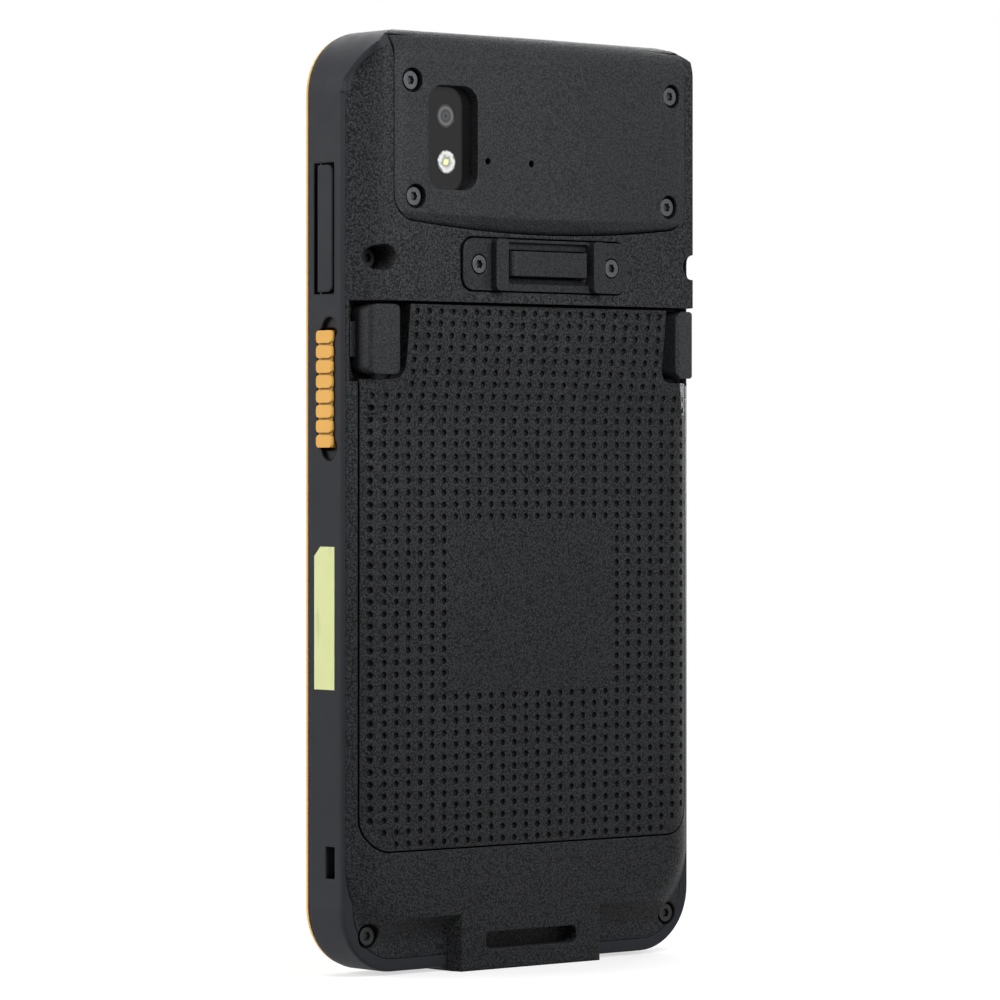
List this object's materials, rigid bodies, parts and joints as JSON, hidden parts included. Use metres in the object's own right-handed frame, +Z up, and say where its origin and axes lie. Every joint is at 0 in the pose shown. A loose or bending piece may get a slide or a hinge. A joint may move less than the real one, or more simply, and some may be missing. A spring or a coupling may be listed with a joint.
{
  "type": "portable data terminal",
  "caption": "Rugged hand-held data terminal with a touch screen, side scan triggers, a scan window in the top end, a tilt-out dimpled battery pack and a hinged card door.",
  "frame": {"origin": "centre of the bounding box's underside, on the foot of the bottom end", "axes": "+Z up the length from the foot to the top end; +Y out of the back (head and battery side), so the screen faces -Y; +X towards the side with the card door and the label"},
  "size_m": [0.0806, 0.0182, 0.16],
  "materials": {
    "accent_orange": "satin moulded plastic, orange-yellow",
    "frame_grey": "smooth satin dark grey plastic",
    "housing_black": "finely grained charcoal black plastic",
    "cover_black": "finely grained charcoal black plastic",
    "smooth_black": "smooth satin black plastic",
    "front_glass": "polished black glass",
    "clear_glass": "clear lens",
    "dark_glass": "dark optical window",
    "white_lens": "frosted flash lens",
    "screw_steel": "blackened steel",
    "bright_steel": "plain sheet steel",
    "alloy": "bead-blasted alloy",
    "gold": "gold-plated contacts",
    "board_green": "solder-masked board",
    "module_black": "moulded component",
    "seal_grey": "soft elastomer",
    "label_yellow": "blank printed film, pale yellow-green",
    "cell_wrap": "wrapped cell",
    "copper": "wound copper",
    "panel_dark": "display panel"
  },
  "bodies": {
    "terminal": {"accent_ring": "accent_orange", "front_bezel": "smooth_black", "touch_glass": "front_glass", "earpiece_mesh": "bright_steel", "front_camera": "dark_glass", "status_lens": "clear_glass", "display_panel": "panel_dark", "midframe": "alloy", "side_frame": "frame_grey", "rear_housing": "housing_black", "head_cover": "housing_black", "head_seal": "seal_grey", "camera_window": "dark_glass", "camera_lens": "clear_glass", "flash_lens": "white_lens", "camera_module": "module_black", "wireless_coil": "copper", "scan_window": "dark_glass", "scan_engine": "module_black", "strap_bracket": "smooth_black", "bracket_screws": "screw_steel", "cover_screws": "screw_steel", "shoulder_screws": "screw_steel", "bottom_screws": "screw_steel", "main_board": "board_green", "shield_cans": "bright_steel", "card_socket": "bright_steel", "side_switches": "bright_steel", "earpiece": "module_black", "microphones": "gold", "bottom_board": "board_green", "usb_socket": "bright_steel", "dock_contacts": "gold", "speaker": "module_black", "vibration_motor": "bright_steel", "bay_contacts": "gold", "side_label": "label_yellow", "card_door_pin": "bright_steel"},
    "latch_right": {"latch_right": "smooth_black"},
    "latch_left": {"latch_left": "smooth_black"},
    "trigger_right": {"trigger_right": "accent_orange"},
    "trigger_left": {"trigger_left": "accent_orange"},
    "power_key": {"power_key": "frame_grey"},
    "volume_up_key": {"volume_up_key": "frame_grey"},
    "volume_down_key": {"volume_down_key": "frame_grey"},
    "card_door": {"card_door": "frame_grey", "card_door_seal": "seal_grey"},
    "battery": {"battery_cover": "cover_black", "battery_case": "smooth_black", "battery_cell": "cell_wrap", "pack_board": "board_green", "pack_contacts": "gold", "contact_seal": "seal_grey", "latch_springs": "bright_steel"}
  },
  "joints": [
    {"name": "battery_hinge", "type": "hinge", "parent": "terminal", "child": "battery", "pos_m": [0, 0.00385, 0.0213], "axis": [-1, 0, 0], "range_deg": [0, 60]},
    {"name": "latch_right_slide", "type": "slide", "parent": "battery", "child": "latch_right", "axis": [-1, 0, 0], "range_m": [0, 0.001], "stiffness_N_per_m": 400},
    {"name": "latch_left_slide", "type": "slide", "parent": "battery", "child": "latch_left", "axis": [1, 0, 0], "range_m": [0, 0.001], "stiffness_N_per_m": 400},
    {"name": "trigger_right_press", "type": "slide", "parent": "terminal", "child": "trigger_right", "axis": [-1, 0, 0], "range_m": [0, 0.0008], "stiffness_N_per_m": 2500},
    {"name": "trigger_left_press", "type": "slide", "parent": "terminal", "child": "trigger_left", "axis": [1, 0, 0], "range_m": [0, 0.0008], "stiffness_N_per_m": 2500},
    {"name": "power_key_press", "type": "slide", "parent": "terminal", "child": "power_key", "axis": [1, 0, 0], "range_m": [0, 0.0004], "stiffness_N_per_m": 4000},
    {"name": "volume_up_press", "type": "slide", "parent": "terminal", "child": "volume_up_key", "axis": [1, 0, 0], "range_m": [0, 0.0004], "stiffness_N_per_m": 4000},
    {"name": "volume_down_press", "type": "slide", "parent": "terminal", "child": "volume_down_key", "axis": [1, 0, 0], "range_m": [0, 0.0004], "stiffness_N_per_m": 4000},
    {"name": "card_door_hinge", "type": "hinge", "parent": "terminal", "child": "card_door", "pos_m": [0.039, -0.00535, 0.1262], "axis": [0, 0, -1], "range_deg": [0, 100]}
  ]
}
